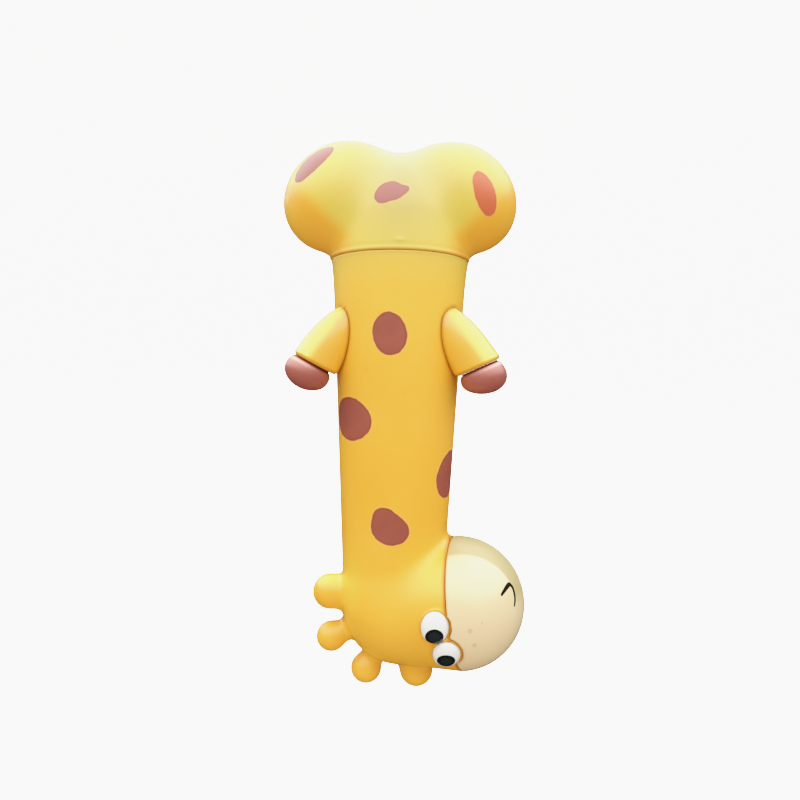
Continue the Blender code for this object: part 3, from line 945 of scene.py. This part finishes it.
def matt_ink(material):
    """Takes the coat off the painted smile and off the lower rim, and makes the ink itself matt."""
    tree = material.node_tree
    shader = tree.nodes["Principled BSDF"]
    skin = shader.inputs["Roughness"].links[0].from_socket
    bare = ramp(tree, mark(tree, "smile"), -0.1 * MM, 0.1 * MM)
    ink = math_node(tree, "SUBTRACT", 1.0, bare)
    sockets = {
        "Roughness": math_node(tree, "MULTIPLY_ADD", ink, 0.5, skin),
        "Coat Weight": times(tree, bare, ramp(tree, mark(tree, "shade"), 0.0, 1.0, CREAM_COAT, 0.0)),
        "Specular Tint": mix(tree, bare, (0.0, 0.0, 0.0), (1.0, 1.0, 1.0)),
    }
    put(tree, shader, sockets)


# ---- settings ----


def paint(name, value, description):
    limits = {"min": 0.0, "max": 1.0, "size": 3, "subtype": "COLOR"}
    return FloatVectorProperty(name=name, description=description, default=value, **limits)


def amount(name, value, description, **limits):
    return FloatProperty(name=name, description=description, default=value, **limits)


class YellowVinylSettings(bpy.types.PropertyGroup):
    light: paint("Light yellow", (0.92, 0.44, 0.044), "The lighter yellow of the skin")
    deep: paint("Deep yellow", (0.90, 0.405, 0.036), "The deeper yellow of the skin")
    # Painted highlight: the greenish yellow laid where light from below falls.
    lemon: paint("Lemon", (0.92, 0.66, 0.068), "The greener yellow of the skin's lower sides")
    # Painted sheen: the paler yellow laid where a bright reflection from below falls, low on the base.
    pale: paint("Pale yellow", (0.50, 0.41, 0.165), "The rubbed, paler skin low on the base")
    # Painted shade along joints between parts; also the colour of the skin's orange specks.
    groove: paint("Groove", (0.56, 0.20, 0.008), "The orange in grooves and parting lines")
    spot: paint("Spot", (0.325, 0.081, 0.057), "The brown of the spots")
    spot_deep: paint("Spot, deep", (0.295, 0.072, 0.052), "The deeper brown of the spots")
    spot_edge: paint("Spot edge", (0.29, 0.05, 0.03), "The darker line inside a spot's edge")
    spot_warm: paint("Spot, warm", (0.74, 0.14, 0.055), "The warmer red of the spot on one lobe")
    halo: paint("Halo", (0.93, 0.46, 0.16), "The pale edge that the paint leaves round a spot")
    # Painted sheen on the spots: the paler pink brown where the sheen is painted.
    spot_sheen: paint("Spot, pale", (0.60, 0.225, 0.24), "The paler pink brown of rubbed spots")
    # How strongly the painted sheen is laid on the base and on its spots.
    wash: amount("Wash", 0.9, "How far the base has paled", min=0, max=1)
    spot_sheen_amount: amount("Spot wash", 0.4, "How far the base's spots have paled", min=0, max=1)
    roughness: amount("Roughness", 0.42, "Satin of the skin", min=0, max=1)
    cell: amount("Cell", 0.66 * MM, "Width of the body's net", min=0.5 * MM, unit="LENGTH")


class MuzzleSettings(bpy.types.PropertyGroup):
    light: paint("Light cream", (0.86, 0.685, 0.42), "The lighter cream")
    deep: paint("Deep cream", (0.84, 0.645, 0.38), "The deeper cream")
    blush: paint("Blush", (0.83, 0.635, 0.425), "The pinkish tan towards the crown")
    # Painted shade: the band along the lower rim, where the reflection of the light below stops.
    shade: paint("Shade", (0.52, 0.41, 0.19), "The duller cream of the band along the lower rim")
    # Painted shade at the rim and round the lids.
    groove: paint("Groove", (0.70, 0.28, 0.02), "The orange at the rim")
    dot: paint("Nostril", (0.72, 0.40, 0.26), "The pinkish brown of the nostril dots")
    fleck: paint("Fleck", (0.30, 0.28, 0.26), "A tiny grey fleck")
    ink: paint("Smile", (0.004, 0.005, 0.004), "The black of the smile")
    roughness: amount("Roughness", 0.4, "Satin of the cream", min=0, max=1)


class EyeSettings(bpy.types.PropertyGroup):
    white: paint("White", (0.87, 0.89, 0.97), "The white of the eye")
    shade: paint("Shade", (0.71, 0.74, 0.84), "The greyer patches of the white")
    groove: paint("Socket", (0.70, 0.55, 0.40), "The shade at the socket")
    pupil: paint("Pupil", (0.004, 0.006, 0.006), "The black of the pupil")
    pupil_middle: paint("Pupil middle", (0.012, 0.018, 0.020), "The lighter middle of the pupil")
    roughness: amount("Roughness", 0.2, "Gloss of the eye", min=0, max=1)


class HoofSettings(bpy.types.PropertyGroup):
    light: paint("Light brown", (0.355, 0.092, 0.078), "The lighter brown")
    deep: paint("Deep brown", (0.305, 0.078, 0.068), "The deeper brown")
    # Painted highlight: the pinker brown low on the outside, where light from below falls.
    rose: paint("Rose", (0.66, 0.17, 0.14), "The pinker brown low on the outside")
    # Painted highlight: the pale edge low on the outside.
    scuff: paint("Scuff", (0.86, 0.56, 0.50), "The pale, worn edge low on the outside")
    # Painted shade where the hoof meets the arm.
    groove: paint("Groove", (0.20, 0.02, 0.01), "The dark brown at the arm")
    roughness: amount("Roughness", 0.4, "Satin of the hooves", min=0, max=1)


class StageSettings(bpy.types.PropertyGroup):
    paper: paint("Paper", (0.40, 0.40, 0.40), "The pale floor and backdrop")
    lens: amount("Lens", 35.1, "Lens in millimetres, on a 36 mm sensor", min=10)
    roll: amount("Roll", 181.2 * DEGREE, "How far the camera is rolled over", subtype="ANGLE")
    glow: amount("Glow", 2.9, "Light that the paper adds of its own", min=0)
    ambient: amount("Ambient", 0.42, "Brightness of the room", min=0)
    gleam: amount("Gleam", 2.6, "Brightness of the sheet seen in gloss", min=0)


# ---- operators ----


class GIRAFFE_OT_base(bpy.types.Operator):
    """Two round lobes and the hips in one surface, with flat soles and a bead round the seam"""

    bl_idname = "giraffe.base"
    bl_label = "Base"

    def execute(self, context):
        """Rays from the hips' middle at each elevation and angle, as far as the blended shape goes."""
        surface = cast_surface(base_shape, HIPS, *globe(*BASE_GRID))
        points = surface[0]
        out, below = np.abs(points[:, 0] - AXIS_X), SEAM_HEIGHT - points[:, 2]
        # Painted highlight on the base's middle and lower sides, greenish yellow where light from below
        # falls.
        flank = HIGHLIGHT_SLANT * (out - HIGHLIGHT_TOP_WIDTH) - below + HIGHLIGHT_TOP_DEPTH
        flank = np.minimum(out - HIGHLIGHT_WIDTH, flank)
        lemon = 1.0 - smooth_step(flank, -HIGHLIGHT_FADE, HIGHLIGHT_FADE)
        across, down = bell(out, 0.0, SHEEN_ACROSS), np.clip(below / SHEEN_DOWN, 0.0, 1.0)
        marks = {
            "warm": np.clip((WARM_START - points[:, 0]) / WARM_FADE, 0.0, 1.0),
            "spot": spot_mark(points, base_spots()),
            # Painted shade along the seam.
            "groove": grooves((below, 0.7, 0.55, 0.3)),
            "lemon": lemon,
            # Painted sheen within the painted highlight, strongest in the middle and low down.
            "wash": lemon * (0.4 + 0.6 * across) * (0.4 + 0.6 * down),
        }
        material = yellow_vinyl("base_vinyl", coat=0.2, coat_roughness=0.35, sheen=0.4)
        make_piece("base_skin", "base", surface, marks, material)
        return {"FINISHED"}


class GIRAFFE_OT_body(bpy.types.Operator):
    """Column, head, ears, horns and eyelids in one blended surface"""

    bl_idname = "giraffe.body"
    bl_label = "Body"

    def execute(self, context):
        """A net round the blended shape, with finer cells by the eyes and the seam, settled on it."""
        points, quads = net(body_shape, body_grid(context.scene.giraffe_yellow.cell))
        points = settle(body_shape, points)
        seat = np.abs((points - RIM_CENTRE) @ MUZZLE_AXIS)
        seat = np.where(points[:, 2] > CHIN_HEIGHT, seat, FAR)
        seam = points[:, 2] - SEAM_HEIGHT - GAP / 2
        marks = {
            "spot": spot_mark(points, column_spots()),
            # Painted shade along the joints with the muzzle, the eyes, the base and the arms.
            "groove": grooves(
                (seat, 1.0, 0.55, 0.3),
                (nearest(eye_field, points, EYES), 0.4, 0.1, 0.25),
                (muzzle_shape(points), 0.8, 0.3, 0.35),
                (seam, 0.4, 0.4, 0.3),
                (nearest(arm_gap, points, ARMS), 0.85, 0.2, 0.4),
            ),
            # Painted highlight and painted sheen just above the seam, and painted highlights on the head.
            "lemon": np.minimum(0.7 * near(seam, SEAM_HIGHLIGHT) + head_highlights(points), 1.0),
            "wash": 0.4 * near(seam, SEAM_SHEEN),
        }
        material = yellow_vinyl("body_vinyl", coat=0.35, coat_roughness=0.2, sheen=0.3)
        make_piece("body_skin", "body", (points, quads), marks, material)
        return {"FINISHED"}


def body_grid(cell):
    """Places along X, Y and Z, closer together by the eyes and the seam, and wider apart on the column."""
    fine = cell / 2
    low, high = BODY_LOW - 2 * cell, BODY_HIGH + 2 * cell
    eyes = np.array([eye_frame(eye)[1] for eye in EYES.values()])
    first, last = eyes.min(axis=0) - EYE_MARGIN, eyes.max(axis=0) + EYE_MARGIN
    across = spaced((low[0], cell), (first[0], fine), (last[0], cell), (high[0], cell))
    deep = spaced((low[1], fine), (last[1], cell), (high[1], cell))
    seam, neck = (low[2], SEAM_CELL), (SEAM_HEIGHT + SEAM_MARGIN, 2 * cell)
    chin = (CHIN_HEIGHT - CHIN_MARGIN, cell)
    up = spaced(seam, neck, chin, (first[2], fine), (last[2], cell), (high[2], cell))
    return across, deep, up


class GIRAFFE_OT_muzzle(bpy.types.Operator):
    """The cream muzzle, with its painted smile and nostrils"""

    bl_idname = "giraffe.muzzle"
    bl_label = "Muzzle"

    def execute(self, context):
        """Rays from just inside the ball's middle at each angle from its axis, as far as the shape goes."""
        props = context.scene.giraffe_muzzle
        surface = cast_surface(muzzle_shape, MUZZLE_HEART, *muzzle_rays(*MUZZLE_GRID))
        points = surface[0]
        rim = (points - RIM_CENTRE) @ MUZZLE_AXIS
        out = (points - MUZZLE_CENTRE) / MUZZLE_RADIUS
        marks = {
            # Painted shade at the rim and round the lids.
            "groove": grooves((rim, 1.0, 0.3, 0.25), (nearest(lid_field, points, EYES), 1.0, 0.35, 0.2)),
            "blush": np.clip(0.25 + 0.75 * out[:, 2], 0.0, 0.8),
            # Painted shade along the lower rim, where the reflection of the light below stops.
            "shade": smooth_step(out[:, 1], -0.575, -0.53) * smooth_step(-out[:, 2], 0.0, 0.35),
            **face_marks(points),
        }
        material = vinyl("muzzle_vinyl", cream_colour, props, subsurface=0.12, bump=0.3, coat=CREAM_COAT)
        matt_ink(material)
        make_piece("muzzle_skin", "muzzle", surface, marks, material)
        return {"FINISHED"}


def muzzle_rays(rows, count):
    """Unit directions in rings from the back of the muzzle's axis to its front, and the two ends. They lie
    closer together where the smile is painted and at the rim."""
    shares, angles = zip(*MUZZLE_ROWS)
    angle = np.interp(np.arange(1, rows + 1) / (rows + 1), shares, np.radians(angles))
    turn = along(MUZZLE_AXIS)
    smile = (face_place(*SMILE_MIDDLE) - RIM_CENTRE) @ turn
    shares, angles = zip(*MUZZLE_COLUMNS)
    around = np.interp(np.arange(count) / count, shares, angles) + math.atan2(smile[1], smile[0])
    rings = stack_rings(np.sin(angle), np.cos(angle), ring(around))[::-1] @ turn.T
    return rings, -MUZZLE_AXIS, MUZZLE_AXIS


class GIRAFFE_OT_eyes(bpy.types.Operator):
    """Two white egg-shaped eyes, each with a painted pupil"""

    bl_idname = "giraffe.eyes"
    bl_label = "Eyes"

    def execute(self, context):
        """Each eye is an ellipsoid: cosine and sine of two angles times its half sizes."""
        props = context.scene.giraffe_eye
        ball_points, faces = ring_surface(*globe(*EYE_GRID))
        local = ball_points * EYE_SIZES + (0.0, 0.0, EYE_RAISE)
        for name, eye in EYES.items():
            turn, centre = eye_frame(eye)
            points = centre + local @ turn
            socket = np.minimum(head(points), nearest(lid_field, points, EYES))
            across, up = local[:, 0] - PUPIL_SHIFT, local[:, 1] - eye.pupil_height
            marks = {
                "pupil": np.hypot(across, up) - PUPIL_RADIUS,
                "groove": grooves((socket, 0.5, 0.05, 0.25)),
            }
            material = vinyl(f"{name}_paint", white_colour, props, subsurface=0.05, bump=0.05, coat=0.4)
            make_piece(f"{name}_ball", name, (points, faces), marks, material)
        return {"FINISHED"}


class GIRAFFE_OT_arms(bpy.types.Operator):
    """Two round stub forelegs, cut to the column and rounded at their ends"""

    bl_idname = "giraffe.arms"
    bl_label = "Arms"

    def execute(self, context):
        """A round bar: angle round it by distance along it, from the column's surface to a slanting end."""
        for name, arm in ARMS.items():
            surface = arm_surface(arm, ARM_COUNT)
            points = surface[0]
            local, back = arm_place(points, arm)
            root = column(points) - GAP
            marks = {
                "spot": np.full(len(points), NO_SPOT),
                # Painted shade where the arm meets the column and the hoof.
                "groove": grooves((root, 0.8, 0.2, 0.5), (back, 0.9, 0.0, 0.3), (back, 0.5, 0.9, 0.35)),
                # Painted highlight: the lower outer half greenish yellow, where light from below falls.
                "lemon": smooth_step(arm.side * local[:, 0] / ARM_END_RADIUS, 0.0, 0.42),
            }
            material = yellow_vinyl(f"arm_{name}_vinyl")
            make_piece(f"arm_{name}_skin", f"arm_{name}", surface, marks, material)
        return {"FINISHED"}


class GIRAFFE_OT_hooves(bpy.types.Operator):
    """Two brown bun-shaped hooves over the arms' ends"""

    bl_idname = "giraffe.hooves"
    bl_label = "Hooves"

    def execute(self, context):
        """A bun: a quarter round up from its flat sole to its widest ring, then a dome, higher outwards,
        with a stub under it down to the arm's end."""
        props = context.scene.giraffe_hoof
        flat = stack_rings(*hoof_profile(), circle(HOOF_COUNT))
        for name, arm in ARMS.items():
            turn, end = arm_frame(arm, arm.face_lean)
            rings = flat.copy()
            rings[..., 2] *= 1 + arm.hoof_skew * arm.side * rings[..., 0] / HOOF_RADIUS
            rings[..., 2] += HOOF_GAP
            rings[:3, :, 2] = HOOF_ROOT
            local, faces = ring_surface(rings, (0.0, 0.0, HOOF_ROOT), (0.0, 0.0, HOOF_GAP + HOOF_HEIGHT))
            local[:, 0] += arm.side * arm.hoof_shift
            up = local[:, 2] - HOOF_GAP
            outer = smooth_step(arm.side * local[:, 0] / HOOF_RADIUS, -0.4, 0.8)
            marks = {
                # Painted shade where the hoof meets the arm.
                "groove": grooves((up, 1.0, 0.1, 0.2)),
                # Painted highlights low on the outside: pink, and pale along the edge.
                "rose": 0.7 * outer * bell(np.maximum(up - ROSE_HIGHLIGHT_HEIGHT, 0.0), 0.0, ROSE_HIGHLIGHT_FADE),
                "scuff": 0.8 * outer * bell(up, EDGE_HIGHLIGHT_HEIGHT, EDGE_HIGHLIGHT_WIDTH),
            }
            surface = end + local @ turn.T, faces
            finish = {"subsurface": 0.06, "bump": 0.25, "coat": 0.35, "coat_roughness": 0.3}
            material = vinyl(f"hoof_{name}_vinyl", brown_colour, props, **finish)
            make_piece(f"hoof_{name}_skin", f"hoof_{name}", surface, marks, material)
        return {"FINISHED"}


def hoof_profile():
    """Radii and heights from the stub's inner end out along the sole, round its edge and over the dome."""
    lower, upper = np.linspace(0, np.pi / 2, 20), np.linspace(0, np.pi / 2, 50)[1:-1]
    sole = np.linspace(0, 1, 8)[1:-1]
    radii = (
        HOOF_NECK * np.array((0.3, 0.7, 1.0, 1.0)),
        HOOF_NECK + (HOOF_SOLE_RADIUS - HOOF_NECK) * sole,
        HOOF_SOLE_RADIUS + (HOOF_RADIUS - HOOF_SOLE_RADIUS) * np.sin(lower),
        HOOF_RADIUS * np.cos(upper),
    )
    heights = (
        np.zeros(len(sole) + 4),
        HOOF_WAIST * (1 - np.cos(lower)),
        HOOF_WAIST + (HOOF_HEIGHT - HOOF_WAIST) * np.sin(upper),
    )
    return np.concatenate(radii), np.concatenate(heights)


class GIRAFFE_OT_stage(bpy.types.Operator):
    """A pale floor that curves up all round, soft light panels and the camera"""

    bl_idname = "giraffe.stage"
    bl_label = "Stage"

    def execute(self, context):
        """The paper, the room's light and view, the panels, the sheet seen in gloss, and the camera."""
        props = context.scene.giraffe_stage
        paper_floor(props)
        room(context.scene, props.ambient)
        for name, panel in PANELS.items():
            light_panel(name, *panel)
        gleam_sheet(props.gleam)
        lens = bpy.data.cameras.new("camera")
        lens.lens = props.lens
        lens.clip_start, lens.clip_end = 0.01, 20.0
        upright = Matrix.Rotation(math.pi / 2, 4, "X")
        placed = Matrix.Translation(CAMERA_PLACE) @ upright @ Matrix.Rotation(props.roll, 4, "Z")
        context.scene.camera = link_object("camera", lens, placed)
        return {"FINISHED"}


def hide_from(obj, *rays):
    """Hides an object from some kinds of rays."""
    for ray in rays:
        setattr(obj, f"visible_{ray}", False)


def paper_floor(props):
    """A flat disc whose edge turns up in a quarter circle to a wall, turned about +Z. The camera alone
    sees it."""
    bend = np.linspace(0, np.pi / 2, 24)
    radii = np.concatenate(((0.1, 0.3), PAPER_FLAT + PAPER_BEND * np.sin(bend), PAPER_WALL_RADII))
    heights = np.concatenate(((0, 0), PAPER_BEND * (1 - np.cos(bend)), PAPER_WALL_HEIGHTS))
    rings = stack_rings(radii, heights, circle(PAPER_COUNT))
    points, faces = ring_surface(rings, (0, 0, 0), (0, 0, heights[-1]))
    floor = mesh_object("floor", points, [face for face in faces if len(points) - 1 not in face])
    material, tree = new_material("paper")
    grain = patches(tree, 6.0, 0.0)
    tint = tuple(value * 0.98 for value in props.paper)
    sockets = {
        "Base Color": mix(tree, grain, props.paper, tint),
        "Roughness": 0.9,
        "Emission Color": (1.0, 1.0, 1.0),
        "Emission Strength": props.glow,
    }
    put(tree, tree.nodes["Principled BSDF"], sockets)
    floor.data.materials.append(material)
    hide_from(floor, "diffuse", "glossy", "transmission", "shadow")
    floor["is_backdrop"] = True


def room(scene, ambient):
    """The room's even, warm light, which gloss doesn't show, and the picture's view: the scene's own
    colours, with the brightest tones rolled off by a curve."""
    world = bpy.data.worlds.new("studio")
    scene.world = world
    world.use_nodes = True
    world.cycles_visibility.glossy = False
    tree = world.node_tree
    put(tree, tree.nodes["Background"], {"Color": (1.0, 0.92, 0.80), "Strength": ambient})
    view = scene.view_settings
    view.view_transform = "Standard"
    view.use_curve_mapping = True
    mapping = view.curve_mapping
    brightest, whitest = TONE[-1]
    mapping.white_level = (brightest, brightest, brightest)
    curve = mapping.curves[3]
    curve.points[1].location = (1.0, whitest)
    for light_in, light_out in TONE[1:-1]:
        curve.points.new(light_in / brightest, light_out)
    mapping.update()


def light_panel(name, place, sizes, tip, glow, tint):
    """A soft rectangular panel that the camera and the gloss don't see."""
    data = bpy.data.lights.new(name, "AREA")
    data.shape = "RECTANGLE"
    data.size, data.size_y = sizes
    data.energy = glow * math.pi * sizes[0] * sizes[1]
    data.color = tint
    placed = Matrix.Translation(place) @ Matrix.Rotation(tip * DEGREE, 4, "X")
    hide_from(link_object(name, data, placed), "camera", "glossy")


def gleam_sheet(glow):
    """A sheet below the floor that shows only in gloss, and brightens evenly from its front edge back."""
    front = GLEAM_CORNERS[0][1]
    points = np.array([(*corner, GLEAM_HEIGHT) for corner in GLEAM_CORNERS])
    sheet = mesh_object("gleam_sheet", points, [tuple(range(len(points)))])
    material, tree = new_material("gleam")
    tree.nodes.clear()
    where = add(tree, "SeparateXYZ", {0: add(tree, "TexCoord").outputs["Object"]})
    strength = ramp(tree, where.outputs["Y"], front, GLEAM_FULL, 0.0, glow)
    light = add(tree, "Emission", {"Strength": strength, "Color": (0.88, 1.0, 0.98)})
    add(tree, "OutputMaterial", {"Surface": light.outputs[0]})
    sheet.data.materials.append(material)
    hide_from(sheet, "camera", "diffuse", "transmission", "shadow")
    sheet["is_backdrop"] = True


# ---- the add-on ----

GROUPS = {
    "giraffe_yellow": YellowVinylSettings,
    "giraffe_muzzle": MuzzleSettings,
    "giraffe_eye": EyeSettings,
    "giraffe_hoof": HoofSettings,
    "giraffe_stage": StageSettings,
}
OPERATORS = (
    GIRAFFE_OT_base,
    GIRAFFE_OT_body,
    GIRAFFE_OT_muzzle,
    GIRAFFE_OT_eyes,
    GIRAFFE_OT_arms,
    GIRAFFE_OT_hooves,
    GIRAFFE_OT_stage,
)


class VIEW3D_PT_giraffe(bpy.types.Panel):
    """The giraffe's pieces in the order in which they are made, and their settings"""

    bl_label = "Giraffe"
    bl_space_type = "VIEW_3D"
    bl_region_type = "UI"
    bl_category = "Giraffe"

    def draw(self, context):
        for operator in OPERATORS:
            self.layout.operator(operator.bl_idname)
        for group, kind in GROUPS.items():
            box = self.layout.box()
            box.label(text=kind.bl_rna.name)
            settings = getattr(context.scene, group)
            for name in kind.__annotations__:
                box.prop(settings, name)


def register():
    for kind in (*GROUPS.values(), *OPERATORS, VIEW3D_PT_giraffe):
        bpy.utils.register_class(kind)
    for name, kind in GROUPS.items():
        setattr(bpy.types.Scene, name, PointerProperty(type=kind))


def unregister():
    for name in GROUPS:
        delattr(bpy.types.Scene, name)
    for kind in reversed((*GROUPS.values(), *OPERATORS, VIEW3D_PT_giraffe)):
        bpy.utils.unregister_class(kind)


def main():
    register()
    for obj in list(bpy.data.objects):
        if obj.type in ("LIGHT", "CAMERA") or obj.name == "Cube":
            bpy.data.objects.remove(obj)
    for operator in OPERATORS:
        group, name = operator.bl_idname.split(".")
        getattr(getattr(bpy.ops, group), name)()
    boxes = {"cad": CAD_BOX, "visual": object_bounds()}
    {name: [list(corner) for corner in box] for name, box in boxes.items()}


if __name__ == "__main__":
    main()
